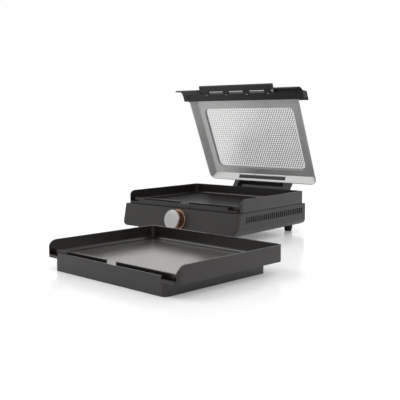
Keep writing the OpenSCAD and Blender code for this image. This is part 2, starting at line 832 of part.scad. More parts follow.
cap_t = 2;
pin_half = arm_w / 2 + 0.8;

module hinge_pin() {
    color(steel) on_base() translate([-pin_half, hinge_y, hinge_z]) rotate([0, 90, 0])
        cylinder(h = 2 * pin_half, d = pin_d);
}

module pin_caps() {
    color(steel) on_base() for (side = [-1, 1]) translate([side * pin_half, hinge_y, hinge_z])
        rotate([0, side * 90, 0]) cylinder(h = cap_t, d = pin_d + 5);
}

module friction_washers() {
    color(brass) on_base() for (side = [-1, 1])
        translate([side * bracket_w / 2, hinge_y, hinge_z]) rotate([0, side * 90, 0]) difference() {
            cylinder(h = washer_t - 0.15, d = 2 * knuckle_r - 4);
            translate([0, 0, -past]) cylinder(h = washer_t + 2 * past, d = pin_d);
        }
}

module hinge_bushes() {
    color(brass) on_lid() for (side = [-1, 1])
        translate([side * (arm_w / 2 - cheek_t / 2), hinge_y, hinge_z]) rotate([0, 90, 0])
            difference() {
                translate([0, 0, -cheek_t / 2]) cylinder(h = cheek_t, d = pin_d + 2 * (bush_t + pin_gap));
                translate([0, 0, -cheek_t]) cylinder(h = 2 * cheek_t, d = pin_d + 2 * pin_gap);
            }
}

// Outline of the arm's bar, which wraps the pan's rear wall
arm_bar = [[lid_y + 0.2, lid_z], [lid_y + 13, lid_z], [arm_back, lid_z + 6], [arm_back - 8, arm_top],
    [lid_y - lid_lean - 6, arm_top], [lid_y - lid_lean - 8, lid_z + lid_h],
    [lid_y - lid_lean, lid_z + lid_h]];
// Outline of the web between the arm's cheeks, clear of the bracket's knuckles
arm_web = [[arm_back, lid_z + 6], [hinge_y + 2.5, hinge_z + knuckle_r + 5],
    [hinge_y - 0.5, hinge_z + knuckle_r + 3], [lid_y + 13, lid_z]];
arm_places = [for (x = [-1, -0.33, 0.33, 1]) x * (arm_w / 2 - 12)];

module hinge_arm() {
    color(black) on_lid() difference() {
        union() {
            along_x(arm_w) polygon(arm_bar);
            along_x(arm_w - cheek_t) polygon(arm_web);
            for (side = [-1, 1]) along_x(cheek_t, side * (arm_w / 2 - cheek_t / 2)) {
                translate([hinge_y, hinge_z]) circle(knuckle_r);
                polygon([[lid_y + 0.2, lid_z], [hinge_y - knuckle_r + 0.6, hinge_z - 3],
                    [hinge_y + knuckle_r - 0.4, hinge_z + 3], [arm_back, lid_z + 6]]);
            }
        }
        translate([-base_w / 2, hinge_y, hinge_z]) rotate([0, 90, 0])
            cylinder(h = base_w, d = pin_d + 2 * (bush_t + pin_gap));
        for (x = arm_places) translate([x, arm_screw_y, lid_z]) cylinder(h = rim_z, d = screw_d);
    }
}

module arm_screws() {
    color(steel) on_lid() for (x = arm_places) translate([x, arm_screw_y, arm_top])
        screw(5.6, 2, screw_d, arm_top - lid_z - lid_h + lid_t + tip);
}

// Outer form of the lid's pan, drawn closed and shrunk by inset; its front is open
module lid_form(inset, front) {
    half = lid_w / 2 - inset;
    back = lid_y - inset;
    top = lid_z + lid_h - inset;
    low = lid_z - (inset > 0 ? past : 0);
    lean = lid_lean * (top - low) / lid_h;
    corner = lid_corner - inset;
    intersection() {
        along_y(front, back) polygon([[-half, low], [half, low], [half - lean, top], [-half + lean, top]]);
        along_x(2 * half) polygon([[front, low], [back, low], [back - lean, top], [front, top]]);
        translate([0, back, 0]) mirror([0, 1, 0]) linear_extrude(2 * lid_z) front_outline(half, corner);
    }
}

slot_w = arm_w - 26;
arm_screw_y = lid_y - lid_lean - 2;

module lid_pan() {
    front = lid_y - lid_l;
    color(satin) on_lid() difference() {
        union() {
            lid_form(0, front);
            translate([0, mesh_y, 0])
                round_block(recess_w + 2 * lid_t, recess_l + 2 * lid_t, mesh_r + recess_ledge + lid_t,
                    lid_z + lid_h - lid_t, recess_top);
        }
        lid_form(lid_t, front - past);
        translate([0, mesh_y, 0])
            round_block(recess_w, recess_l, mesh_r + recess_ledge, lid_z, recess_top - lid_t);
        translate([0, mesh_y, 0]) round_block(mesh_w, mesh_l, mesh_r, lid_z, recess_top + past);
        slab([-slot_w / 2, lid_y - lid_lean, lid_z + 4], [slot_w / 2, lid_y + past, lid_z + lid_h - 4]);
        for (x = arm_places) translate([x, arm_screw_y, lid_z]) cylinder(h = rim_z, d = screw_d);
        for (x = rail_screw_places) translate([x, front + rail_lap / 2, lid_z])
            cylinder(h = rim_z, d = screw_d);
    }
}

module lid_mesh() {
    color(steel) on_lid() translate([0, mesh_y, 0])
        round_block(recess_w, recess_l, mesh_r + recess_ledge, recess_top, recess_top + mesh_t);
}

frame_t = 1.2;

module mesh_frame() {
    color(satin) on_lid() translate([0, mesh_y, 0]) difference() {
        round_block(recess_w + 2 * lid_t, recess_l + 2 * lid_t, mesh_r + recess_ledge + lid_t,
            recess_top + mesh_t, recess_top + mesh_t + frame_t);
        round_block(mesh_w, mesh_l, mesh_r, recess_top, recess_top + 2 * frame_t + mesh_t);
    }
}

rail_screw_places = [for (x = [-3 : 2 : 3]) x * (lid_w / 2 - lid_lean - 14) / 3];
post_places = [for (i = [0 : post_count - 1])
    (i - (post_count - 1) / 2) * (grip_w - post_w - 20) / (post_count - 1)];
grip_z = apron_low;
grip_back = apron_y - finger_gap;
handle_half = grip_w / 2 + 2;
rib_half = plate_w / 2 - plate_wall - side_gap;

// Centre and inner radius of the rail's front, which wraps the front of the plate
arc_y = plate_front + wall_arc;
arc_z = plate_rim - wall_arc;
shell_r = wall_arc + side_gap;
slope_foot = lid_z - 20;

// Outline of the rail between two surfaces: its sloping front and its top
function slope_y(z) = rail_crest - rail_slope * (rail_top - z) / (rail_top - slope_foot);

module rail_outline(low) {
    polygon([[slope_y(low), low], [rail_crest, rail_top], [rail_back + rail_lap, rail_top],
        [rail_back + rail_lap, rail_top - rail_t], [rail_back, rail_top - rail_t], [rail_back, low]]);
}

module rail_hollow() {
    low = rail_low + rail_t;
    polygon([[slope_y(low) + rail_t + 0.4, low], [rail_crest + rail_t - 1, rail_top - rail_t],
        [rail_back + past, rail_top - rail_t], [rail_back + past, low]]);
}

// Quarter of a ring round the front of the plate's side walls, and its upright foot
module rail_shell() {
    low = lid_z - rail_drop;
    intersection() {
        difference() {
            translate([arc_y, arc_z]) circle(shell_r + rail_t);
            translate([arc_y, arc_z]) circle(shell_r);
        }
        translate([arc_y - 2 * shell_r, arc_z]) square([2 * shell_r, 2 * shell_r]);
    }
    translate([arc_y - shell_r - rail_t, low]) square([rail_t, arc_z - low]);
}

// Side of the handle's recess, from the middle of the shell back to the upright apron
module recess_side() {
    intersection() {
        translate([arc_y, arc_z]) circle(shell_r + rail_t / 2);
        translate([arc_y - 2 * shell_r, apron_low])
            square([apron_y + rail_t - arc_y + 2 * shell_r, 2 * shell_r]);
    }
}

module lid_rail() {
    color(black) on_lid() difference() {
        union() {
            difference() {
                along_x(rail_w) rail_outline(rail_low);
                along_x(2 * rib_half) rail_hollow();
                // the body arches over the plate's side walls
                for (side = [-1, 1]) along_x(plate_wall + 2 * side_gap, side * (plate_w - plate_wall) / 2)
                    translate([arc_y, arc_z]) circle(shell_r + 0.3);
                // finger room in front of the upright apron
                slab([-handle_half, rail_front - past, apron_low], [handle_half, apron_y, rail_low + 2.5]);
            }
            for (side = [-1, 1]) {
                along_x(rail_w / 2 - handle_half, side * (rail_w / 2 + handle_half) / 2) rail_shell();
                along_x(rail_t, side * (handle_half + rail_t / 2)) recess_side();
            }
            // upright apron behind the handle
            slab([-handle_half - past, apron_y, apron_low], [handle_half + past, apron_y + rail_t, rail_low + past]);
            for (x = [-3 : 2 : 3]) along_x(2, x * rib_half / 4) rail_outline(rail_low + past);
        }
        for (x = rail_screw_places) translate([x, rail_back + rail_lap / 2, lid_z])
            cylinder(h = rim_z, d = screw_d);
        for (x = post_places) translate([x, apron_y - past, grip_z + grip_h / 2])
            rotate([-90, 0, 0]) cylinder(h = rail_t + 2 * past, d = screw_d);
    }
}

module rail_screws() {
    color(steel) on_lid() for (x = rail_screw_places)
        translate([x, rail_back + rail_lap / 2, rail_top]) screw(5.6, 2, screw_d, rail_t + lid_t + tip);
}

module handle_posts() {
    color(black) on_lid() for (x = post_places) difference() {
        slab([x - post_w / 2, grip_back, grip_z + 0.5], [x + post_w / 2, apron_y, grip_z + grip_h - 0.5]);
        translate([x, apron_y + past, grip_z + grip_h / 2]) rotate([90, 0, 0])
            cylinder(h = finger_gap + 2 * past, d = screw_d);
    }
}

module handle_grip() {
    color(black) on_lid() difference() {
        along_x(grip_w) translate([grip_back - grip_d / 2, grip_z + grip_h / 2])
            round_rect(grip_d, grip_h, grip_h / 2 - 1);
        for (x = post_places) translate([x, grip_back + past, grip_z + grip_h / 2]) rotate([90, 0, 0])
            cylinder(h = grip_d / 2 + past, d = screw_d);
    }
}

module handle_screws() {
    color(steel) on_lid() for (x = post_places)
        translate([x, apron_y + rail_t, grip_z + grip_h / 2]) rotate([-90, 0, 0])
            screw(5.6, 2, screw_d, finger_gap + rail_t + grip_d / 2 - past);
}

// Drip tray and its runners, under the bottom cover
runner_z = tray_top - tray_t - seat_gap - runner_t;
runner_front = tray_front + 8;
runner_back = tray_front + tray_d;
runner_places = [for (x = [-1, 1], y = [0.25, 0.8])
    [x * (runner_x + runner_flange / 2 + 1), runner_front + y * (runner_back - runner_front), 0]];

module tray_runners() {
    color(steel) on_base() for (side = [-1, 1]) difference() {
        along_y(runner_front, runner_back) scale([side, 1]) {
            translate([runner_x, runner_z]) square([runner_t, cover_z - runner_z]);
            translate([runner_x - tray_rim + 0.6, runner_z]) square([tray_rim, runner_t]);
            translate([runner_x, cover_z - runner_t]) square([runner_flange, runner_t]);
        }
        for (p = runner_places) translate(p) cylinder(h = rim_z, d = screw_d);
    }
}

module runner_screws() {
    color(steel) on_base() for (p = runner_places) translate([p[0], p[1], cover_z - runner_t])
        mirror([0, 0, 1]) screw(5.4, 2, screw_d, runner_t + cover_t + 1.5);
}

module drip_tray() {
    low = tray_top - tray_h;
    color(black) on_base() difference() {
        union() {
            slab([-tray_w / 2, tray_front, low], [tray_w / 2, tray_front + tray_d, tray_top]);
            slab([-tray_w / 2 - tray_rim, tray_front, tray_top - tray_t],
                [tray_w / 2 + tray_rim, tray_front + tray_d, tray_top]);
            slab([-tray_w / 2 - tray_rim, tray_front - 3, low], [tray_w / 2 + tray_rim, tray_front, tray_top + 1]);
        }
        slab([-tray_w / 2 + tray_t, tray_front + tray_t, low + tray_t],
            [tray_w / 2 - tray_t, tray_front + tray_d - tray_t, tray_top + past]);
        slab([-30, tray_front - 3 - past, low - past], [30, tray_front - 1.2, low + 6]);
    }
}

// A plate, in its own place: middle of its plan at the origin, foot at z = 0
module plate(ribbed) {
    half_d = plate_d / 2;
    ridge_front = -half_d + lip_t + gutter_w;
    deck_front = ridge_front + ridge_t;
    difference() {
        union() {
            round_block(plate_w, plate_d, plate_corner, flange_z, plate_h);
            translate([0, -body_back / 2, 0]) round_block(body_w, body_d, body_corner, 0, flange_z + past);
        }
        // room above the cooking surface
        intersection() {
            along_y(deck_front, half_d) floor_outline(-inner_w / 2, inner_w / 2);
            along_x(plate_w) floor_outline(-plate_d, half_d - plate_wall);
            round_block(inner_w, plate_d - 2 * plate_wall, plate_corner - plate_wall, deck_z, plate_h + past);
        }
        slab([-inner_w / 2, -plate_d, ridge_z], [inner_w / 2, deck_front + past, plate_h + past]);
        slab([-inner_w / 2, -plate_d, apron_z], [inner_w / 2, ridge_front, plate_h]);
        slab([-inner_w / 2, -half_d + lip_t, gutter_floor], [inner_w / 2, ridge_front, plate_h]);
        slab([-notch_w / 2, ridge_front - past, deck_z], [notch_w / 2, deck_front + past, plate_h]);
        // lowered lip and grease hole at each front corner
        for (side = [-1, 1]) {
            translate([side * (inner_w / 2 - dip_l / 2), 0, 0])
                slab([-dip_l / 2, -plate_d, gutter_floor + 3], [dip_l / 2, ridge_front, plate_h]);
            translate([side * drain_x, -half_d + gutter_y, 0]) cylinder(h = plate_h, d = drain_d);
        }
        // the side walls run down in a curve at the front
        difference() {
            slab([-plate_w, -plate_d, plate_h - wall_arc], [plate_w, -half_d + wall_arc, plate_h + past]);
            translate([-plate_w, -half_d + wall_arc, plate_h - wall_arc]) rotate([0, 90, 0])
                cylinder(h = 2 * plate_w, r = wall_arc);
        }
        // hollow under the cooking surface
        translate([0, -body_back / 2, 0]) round_block(body_w - 2 * body_wall, body_d - 2 * body_wall,
            body_corner - body_wall, -past, body_top);
    }
    if (ribbed) plate_ribs(deck_front, half_d - plate_wall);
}

// Outline of the room above the cooking surface, curved at its lower corners
module floor_outline(low, high) {
    translate([low, deck_z + floor_r]) square([high - low, plate_h]);
    translate([low + floor_r, deck_z]) square([high - low - 2 * floor_r, floor_r + past]);
    for (x = [low + floor_r, high - floor_r]) translate([x, deck_z + floor_r]) circle(floor_r);
}

module plate_ribs(front, back) {
    count = floor((inner_w - 16) / rib_pitch / 2);
    for (i = [-count : count])
        slab([i * rib_pitch - rib_w / 2, front + 9, deck_z - 0.5],
            [i * rib_pitch + rib_w / 2, back - 10, deck_z + rib_h]);
}

module grill_plate() {
    color(coated) on_base() translate([0, plate_cy, plate_z]) plate(true);
}

module griddle_plate() {
    color(coated) on_base() translate([spare_x, -spare_y, 0]) rotate([0, 0, -spare_turn]) plate(false);
}

housing();
bottom_cover();
foot(0);  // foot_front_left
foot(1);  // foot_front_right
foot(2);  // foot_rear_left
foot(3);  // foot_rear_right
foot_screws();
cover_screws();
well_pan();
well_screws();
heating_element();
element_bushings();
element_brackets();
element_tabs();
temperature_probe();
thermal_fuse();
control_board();
board_standoffs();
terminal_block();
wiring();
dial_control();
dial_nut();
dial_bezel();
dial_shaft();
dial_body();
dial_sleeve();
dial_cap();
cord_inlet();
hinge_bracket();
bracket_screws();
hinge_pin();
pin_caps();
friction_washers();
hinge_bushes();
hinge_arm();
arm_screws();
lid_pan();
lid_mesh();
mesh_frame();
lid_rail();
rail_screws();
handle_posts();
handle_grip();
handle_screws();
tray_runners();
runner_screws();
drip_tray();
grill_plate();
griddle_plate();
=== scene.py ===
import json
import math

import bmesh
import bpy
from mathutils import Matrix, Vector


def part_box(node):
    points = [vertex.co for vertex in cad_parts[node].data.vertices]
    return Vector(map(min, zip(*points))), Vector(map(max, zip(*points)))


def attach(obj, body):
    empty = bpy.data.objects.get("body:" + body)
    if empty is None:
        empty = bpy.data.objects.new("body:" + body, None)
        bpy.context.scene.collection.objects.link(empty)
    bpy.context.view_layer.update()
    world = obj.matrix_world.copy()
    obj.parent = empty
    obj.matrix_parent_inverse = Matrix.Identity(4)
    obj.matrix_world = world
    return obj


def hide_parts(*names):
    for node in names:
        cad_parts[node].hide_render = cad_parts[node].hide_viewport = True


# Lengths are in metres, and in millimetres where they are multiplied by MM
MM = 0.001
# How far the middle of the stage lies ahead of the housing's rear
STAGE_AHEAD = 0.155

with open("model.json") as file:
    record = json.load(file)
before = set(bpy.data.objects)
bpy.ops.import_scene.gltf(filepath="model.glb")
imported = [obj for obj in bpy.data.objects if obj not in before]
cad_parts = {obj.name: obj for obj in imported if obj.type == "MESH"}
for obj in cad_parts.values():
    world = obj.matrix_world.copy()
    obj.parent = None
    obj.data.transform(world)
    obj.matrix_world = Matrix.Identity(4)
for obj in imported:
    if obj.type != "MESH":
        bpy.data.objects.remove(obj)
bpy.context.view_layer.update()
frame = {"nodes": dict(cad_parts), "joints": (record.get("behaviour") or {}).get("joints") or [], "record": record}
nodes = frame["nodes"]
joints = {j["name"]: j for j in frame["joints"]}
slots = {s["node"]: s["material_slot"] for s in frame["record"]["subparts"]}
body_of = {n: b for b, members in frame["record"]["behaviour"]["bodies"].items() for n in members}
scene = bpy.context.scene
housing_low, housing_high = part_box("housing")
centre = Vector(((housing_low.x + housing_high.x) / 2, housing_high.y - STAGE_AHEAD, 0))


# ---------------------------------------------------------------- shader nodes

def srgb(r, g, b):
    """An 8-bit screen colour as the linear colour that a shader takes."""
    def one(c):
        c /= 255
        return c / 12.92 if c <= 0.04045 else ((c + 0.055) / 1.055) ** 2.4
    return (one(r), one(g), one(b), 1.0)


def grey(level):
    return (level, level, level, 1)


def add(tree, kind, inputs=None, **settings):
    """A shader node of a kind, with its settings and the values of its inputs."""
    made = tree.nodes.new("ShaderNode" + kind)
    for key, value in settings.items():
        setattr(made, key, value)
    for key, value in (inputs or {}).items():
        made.inputs[key].default_value = value
    return made


def weighed(tree, first, second, share):
    """A share of the first value and the rest of the second."""
    rest = add(tree, "Math", {1: 1 - share}, operation="MULTIPLY")
    tree.links.new(second, rest.inputs[0])
    total = add(tree, "Math", {1: share}, operation="MULTIPLY_ADD")
    tree.links.new(first, total.inputs[0])
    tree.links.new(rest.outputs[0], total.inputs[2])
    return total.outputs[0]


def coloured(tree, value, dark, light, span=(0.0, 1.0)):
    """The colour between dark and light that a value picks within a span."""
    ramp = add(tree, "ValToRGB")
    for k, colour in enumerate((dark, light)):
        ramp.color_ramp.elements[k].position = span[k]
        ramp.color_ramp.elements[k].color = colour
    tree.links.new(value, ramp.inputs["Fac"])
    return ramp.outputs["Color"]


def rays(tree, *kinds):
    """1 for rays of these kinds, and 0 for all others."""
    path = add(tree, "LightPath")
    found = path.outputs[f"Is {kinds[0]} Ray"]
    for kind in kinds[1:]:
        larger = add(tree, "Math", operation="MAXIMUM")
        tree.links.new(found, larger.inputs[0])
        tree.links.new(path.outputs[f"Is {kind} Ray"], larger.inputs[1])
        found = larger.outputs[0]
    return found


def either(tree, share, first, second):
    """The first shader where the share is 0, the second where it is 1."""
    mix = add(tree, "MixShader")
    tree.links.new(share, mix.inputs["Fac"])
    tree.links.new(first, mix.inputs[1])
    tree.links.new(second, mix.inputs[2])
    return mix.outputs[0]


# ---------------------------------------------------------------- materials

# Share of the broad cloud in the mottling, and of the rings where there are any
CLOUD_SHARE = 0.35
RING_SHARE = 0.5
# The mottling's values lie mostly between these
MOTTLE = (0.3, 0.7)


def finish(name, dark, light, rough, bump, metallic=0.0, scale=900.0, stretch=(1, 1, 1), depth=0.02,
           cloud=14.0, detail=4.0, specular=0.5, coat=0.0, coat_rough=0.2, rings=None):
    """A material whose colour, roughness and relief vary with a fine grain and a broad cloud.

    dark and light are screen colours, depth is the relief in millimetres, and rings is a scale
    and a distortion.
    """
    m = bpy.data.materials.new(name)
    m.use_nodes = True
    nt = m.node_tree
    bsdf = nt.nodes["Principled BSDF"]
    bsdf.inputs["Metallic"].default_value = metallic
    bsdf.inputs["Specular IOR Level"].default_value = specular
    bsdf.inputs["Coat Weight"].default_value = coat
    bsdf.inputs["Coat Roughness"].default_value = coat_rough
    coord = add(nt, "TexCoord")
    mapping = add(nt, "Mapping", {"Scale": stretch})
    nt.links.new(coord.outputs["Object"], mapping.inputs["Vector"])
    grain = add(nt, "TexNoise", {"Scale": scale, "Detail": detail})
    nt.links.new(mapping.outputs["Vector"], grain.inputs["Vector"])
    broad = add(nt, "TexNoise", {"Scale": cloud, "Detail": 3.0})
    nt.links.new(coord.outputs["Object"], broad.inputs["Vector"])
    relief = grain.outputs["Fac"]
    value = weighed(nt, broad.outputs["Fac"], relief, CLOUD_SHARE)
    if rings:
        wave = add(nt, "TexWave", {"Scale": rings[0], "Distortion": rings[1], "Detail": 2.0},
                   wave_type="RINGS", rings_direction="Z")
        nt.links.new(coord.outputs["Object"], wave.inputs["Vector"])
        relief = wave.outputs["Fac"]
        value = weighed(nt, relief, value, RING_SHARE)
    nt.links.new(coloured(nt, value, srgb(*dark), srgb(*light), MOTTLE), bsdf.inputs["Base Color"])
    span = add(nt, "MapRange", {"From Min": MOTTLE[0], "From Max": MOTTLE[1],
                                "To Min": rough[0], "To Max": rough[1]})
    nt.links.new(value, span.inputs["Value"])
    nt.links.new(span.outputs["Result"], bsdf.inputs["Roughness"])
    raised = add(nt, "Bump", {"Strength": bump, "Distance": depth * MM})
    nt.links.new(relief, raised.inputs["Height"])
    nt.links.new(raised.outputs["Normal"], bsdf.inputs["Normal"])
    return m


FINISHES = {
    # painted, moulded and coated
    "housing_paint": dict(dark=(36, 34, 33), light=(46, 44, 42), rough=(0.38, 0.48), bump=0.25, depth=0.03,
                          scale=1400, metallic=0.1, specular=0.4),
    "black_plastic": dict(dark=(15, 14, 14), light=(24, 23, 23), rough=(0.42, 0.56), bump=0.35, depth=0.03,
                          scale=2200, specular=0.35),
    "rubber_feet": dict(dark=(24, 24, 24), light=(36, 35, 34), rough=(0.75, 0.9), bump=0.3, scale=1500,
                        specular=0.3),
    "coated_plate": dict(dark=(18, 14, 12), light=(28, 23, 20), rough=(0.3, 0.42), bump=0.15, depth=0.015,
                         scale=1300, cloud=9, specular=0.3, coat=0.3, coat_rough=0.12),
    # The drip tray is a real part, but its dark front under the housing's front edge is also painted shade,
    # standing in for the shadow beneath the base
    "tray_enamel": dict(dark=(20, 19, 19), light=(30, 29, 28), rough=(0.25, 0.4), bump=0.2, scale=700),
    # metals
    "zinc_screws": dict(dark=(150, 149, 146), light=(196, 195, 192), rough=(0.28, 0.42), bump=0.1, scale=1800,
                        metallic=1.0),
    "well_steel": dict(dark=(150, 149, 146), light=(190, 189, 186), rough=(0.3, 0.45), bump=0.12, scale=700,
                       stretch=(0.05, 1, 1), metallic=1.0),
    "element_steel": dict(dark=(74, 70, 67), light=(112, 106, 101), rough=(0.45, 0.6), bump=0.2, metallic=0.8),
    "brass_fittings": dict(dark=(176, 145, 84), light=(204, 172, 108), rough=(0.25, 0.4), bump=0.1,
                           metallic=1.0),
    "copper_trim": dict(dark=(150, 110, 88), light=(186, 142, 116), rough=(0.26, 0.38), bump=0.15, scale=1500,
                        stretch=(1, 1, 0.04), metallic=1.0),
    "dial_metal": dict(dark=(138, 138, 137), light=(188, 188, 187), rough=(0.3, 0.42), bump=0.25, metallic=1.0,
                       rings=(300.0, 1.5)),
    "lid_steel": dict(dark=(168, 168, 167), light=(192, 192, 191), rough=(0.38, 0.5), bump=0.05, scale=520,
                      stretch=(0.02, 1, 1), detail=6, metallic=0.45),
    "mesh_steel": dict(dark=(198, 198, 197), light=(226, 226, 225), rough=(0.3, 0.42), bump=0.08,
                       metallic=0.45),
    # insulators, the control board and the wires
    "cream_ceramic": dict(dark=(214, 207, 192), light=(232, 226, 212), rough=(0.6, 0.8), bump=0.2, scale=1200),
    "board_green": dict(dark=(22, 70, 40), light=(32, 92, 54), rough=(0.25, 0.4), bump=0.1, scale=600),
    "wire_sleeve": dict(dark=(150, 30, 24), light=(176, 42, 34), rough=(0.35, 0.5), bump=0.1),
}
LOOKS = {name: finish(name, **values) for name, values in FINISHES.items()}


def paint(obj, slot_name):
    obj.data.materials.clear()
    obj.data.materials.append(LOOKS[slot_name])


# ---------------------------------------------------------------- pieces

# Vertices nearer to each other than this are one
WELD = 2e-6
# Angles in degrees between two faces. Under FLAT_TURN they are joined, and over EDGE_TURN their edge is
# rounded. Over SHELL_TURN or LATHE_TURN the edge stays sharp in the shading of a shell or a turned piece
FLAT_TURN = 0.6
EDGE_TURN = 33
SHELL_TURN = 40
LATHE_TURN = 38
LATHE_STEPS = 96

hinge = joints["lid_hinge"]
pivot = Vector(hinge["pos_m"])
# From the closed lid to the lid as it stands at rest
leaning = (Matrix.Translation(pivot) @ Matrix.Rotation(math.radians(hinge["range_deg"][0]), 4, "X")
           @ Matrix.Translation(-pivot))


def link(name, data, matrix=None):
    obj = bpy.data.objects.new(name, data)
    scene.collection.objects.link(obj)
    if matrix is not None:
        obj.matrix_world = matrix
    return obj


def smooth(mesh, angle):
    mesh.shade_smooth()
    mesh.set_sharp_from_angle(angle=math.radians(angle))


def stand_for(obj, slot_name, body, node):
    paint(obj, slot_name)
    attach(obj, body)
    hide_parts(node)
    return obj


def welded(node):
    """A copy of a CAD node's mesh, and its vertices welded for editing."""
    mesh = nodes[node].data.copy()
    bm = bmesh.new()
    bm.from_mesh(mesh)
    bmesh.ops.remove_doubles(bm, verts=bm.verts, dist=WELD)
    return mesh, bm


def shell(node, mesh, bm, width, segments, method):
    """The edited mesh with rounded edges, which stands for its CAD node."""
    bm.to_mesh(mesh)
    bm.free()
    obj = link(node + "_shell", mesh)
    bevel = obj.modifiers.new("soft_edges", "BEVEL")
    bevel.width = width * MM
    bevel.segments = segments
    bevel.limit_method = method
    bevel.angle_limit = math.radians(EDGE_TURN)
    bevel.use_clamp_overlap = True
    bevel.harden_normals = False
    smooth(mesh, SHELL_TURN)
    even = obj.modifiers.new("even_shading", "WEIGHTED_NORMAL")
    even.keep_sharp = True
    return stand_for(obj, slots[node], body_of[node], node)


def dress(node, width, segments):
    """A copy of a CAD node with softly rounded edges."""
    mesh, bm = welded(node)
    bmesh.ops.dissolve_limit(bm, angle_limit=math.radians(FLAT_TURN), verts=bm.verts, edges=bm.edges)
    return shell(node, mesh, bm, width, segments, "ANGLE")


# Every CAD node starts with the finish of its slot
for name, obj in nodes.items():
    for s in obj.material_slots:
        s.material = LOOKS[slots[name]]

# Sheet metal, castings and mouldings, with the width in millimetres and the steps of their rounded edges
shells = {}
for name, width, segments in [
        ("housing", 0.9, 3), ("grill_plate", 1.2, 3), ("griddle_plate", 1.2, 3),
        ("mesh_frame", 0.5, 2), ("lid_rail", 0.9, 3), ("handle_posts", 0.8, 2), ("handle_grip", 1.6, 4),
        ("hinge_arm", 1.4, 3), ("hinge_bracket", 1.0, 2), ("drip_tray", 0.5, 2), ("cord_inlet", 0.4, 2),
        ("foot_front_left", 0.8, 2), ("foot_front_right", 0.8, 2), ("foot_rear_left", 0.8, 2),
        ("foot_rear_right", 0.8, 2)]:
    shells[name] = dress(name, width, segments)

# ---------------------------------------------------------------- lid pan

# Height of the closed pan's top, and how near to it a fold's middle lies
PAN_TOP = 128.2 * MM
FOLD_NEAR = 1.6 * MM
# The outer folds lie farther than this from the lid's middle, or nearer than this to the hinge
FOLD_SIDE = 165 * MM
FOLD_REAR = 62 * MM
# Upright share of the normal of a level face, and the most that a wall has
LEVEL = 0.98
WALL = 0.9
# Widths in millimetres of the rounding of the outer folds and of all other edges
FOLD_W = 3.2
CUT_W = 0.3
FOLD_SEGMENTS = 4


def outer_fold(ends, normals):
    """Whether an edge of the closed pan is a fold between its top and an outer wall."""
    level = any(abs(n.z) > LEVEL for n in normals)
    wall = any(abs(n.z) < WALL for n in normals)
    at_top = abs(sum(v.z for v in ends) / 2 - PAN_TOP) < FOLD_NEAR
    at_side = max(abs(v.x - centre.x) for v in ends) > FOLD_SIDE
    at_rear = max(v.y for v in ends) > pivot.y - FOLD_REAR
    return level and wall and at_top and (at_side or at_rear)


def pressed(node):
    """A copy of a drawn sheet-metal node whose outer folds are rounded wider than its other edges."""
    mesh, bm = welded(node)
    back = leaning.inverted()
    weight = bm.edges.layers.float.new("bevel_weight_edge")
    for e in bm.edges:
        if len(e.link_faces) != 2 or e.calc_face_angle() < math.radians(EDGE_TURN):
            continue
        ends = [back @ v.co for v in e.verts]
        normals = [back.to_3x3() @ f.normal for f in e.link_faces]
        e[weight] = 1.0 if outer_fold(ends, normals) else CUT_W / FOLD_W
    return shell(node, mesh, bm, FOLD_W, FOLD_SEGMENTS, "WEIGHT")


pressed("lid_pan")

# ---------------------------------------------------------------- flat plate

# Faces that point up and are larger than this are the cooking surface
DECK_AREA = 0.03
LEVEL_UP = 0.999

# The flat plate's cooking surface is smoother than its walls, and its much lighter colour is painted reflection of
# the bright surroundings
deck_with_painted_reflection = finish("smooth_coating_painted_reflection", (120, 118, 114), (146, 143, 138), (0.16, 0.26), bump=0.08, depth=0.01,
              metallic=0.8, scale=1300, cloud=7)
flat_plate = shells["griddle_plate"].data
flat_plate.materials.append(deck_with_painted_reflection)
# Only the large up-facing faces of the cooking surface get the lighter colour of painted reflection
for face in flat_plate.polygons:
    if face.normal.z > LEVEL_UP and face.area > DECK_AREA:
        face.material_index = 1

# ---------------------------------------------------------------- mesh window

MESH_PITCH = 7.4 * MM
MESH_HOLE = 4.9 * MM
MESH_CORNER = 18 * MM
MESH_SHEET = 0.7 * MM
# Each hole is longer than MESH_HOLE along its slant and narrower across it
HOLE_SLANT = math.radians(-60)
HOLE_LONG = 1.27
HOLE_NARROW = 0.76

flat = [leaning.inverted() @ v.co for v in nodes["lid_mesh"].data.vertices]
sheet_low = Vector(min(v[i] for v in flat) for i in range(3))
sheet_high = Vector(max(v[i] for v in flat) for i in range(3))


def perforated(low, high, pitch, hole, corner):
    """A sheet of six-sided cells, each with a long hole on the slant, in a rectangle with round corners."""
    bm = bmesh.new()
    cx, cy, cz = ((a + b) / 2 for a, b in zip(low, high))
    half_x, half_y = (high.x - low.x) / 2, (high.y - low.y) / 2
    row = pitch * math.sqrt(3) / 2
    outer = pitch / math.sqrt(3)
    made = {}

    def vert(x, y):
        """The vertex at a place, which neighbouring cells share."""
        key = (round(x * 1e6), round(y * 1e6))
        if key not in made:
            made[key] = bm.verts.new((x, y, cz))
        return made[key]

    def hole_vert(x, y, a):
        along = hole / 2 * math.cos(a - HOLE_SLANT) * HOLE_LONG
        across = hole / 2 * math.sin(a - HOLE_SLANT) * HOLE_NARROW
        return vert(x + along * math.cos(HOLE_SLANT) - across * math.sin(HOLE_SLANT),
                    y + along * math.sin(HOLE_SLANT) + across * math.cos(HOLE_SLANT))

    rows = int(half_y / row)
    columns = int(half_x / pitch) + 1
    for j in range(-rows, rows + 1):
        shift = pitch / 2 if j % 2 else 0
        y = cy + j * row
        for i in range(-columns, columns + 1):
            x = cx + i * pitch + shift
            dx = max(abs(x - cx) - (half_x - corner), 0)
            dy = max(abs(y - cy) - (half_y - corner), 0)
            if math.hypot(dx, dy) > corner - outer:
                continue
            ring = []
            inner = []
            for k in range(6):
                a = math.pi / 6 + k * math.pi / 3
                ring.append(vert(x + outer * math.cos(a), y + outer * math.sin(a)))
                inner.append(hole_vert(x, y, a))
            for k in range(6):
                n = (k + 1) % 6
                bm.faces.new([ring[k], ring[n], inner[n], inner[k]])
    mesh = bpy.data.meshes.new("mesh_window")
    bmesh.ops.recalc_face_normals(bm, faces=bm.faces)
    bm.to_mesh(mesh)
    bm.free()
    return mesh


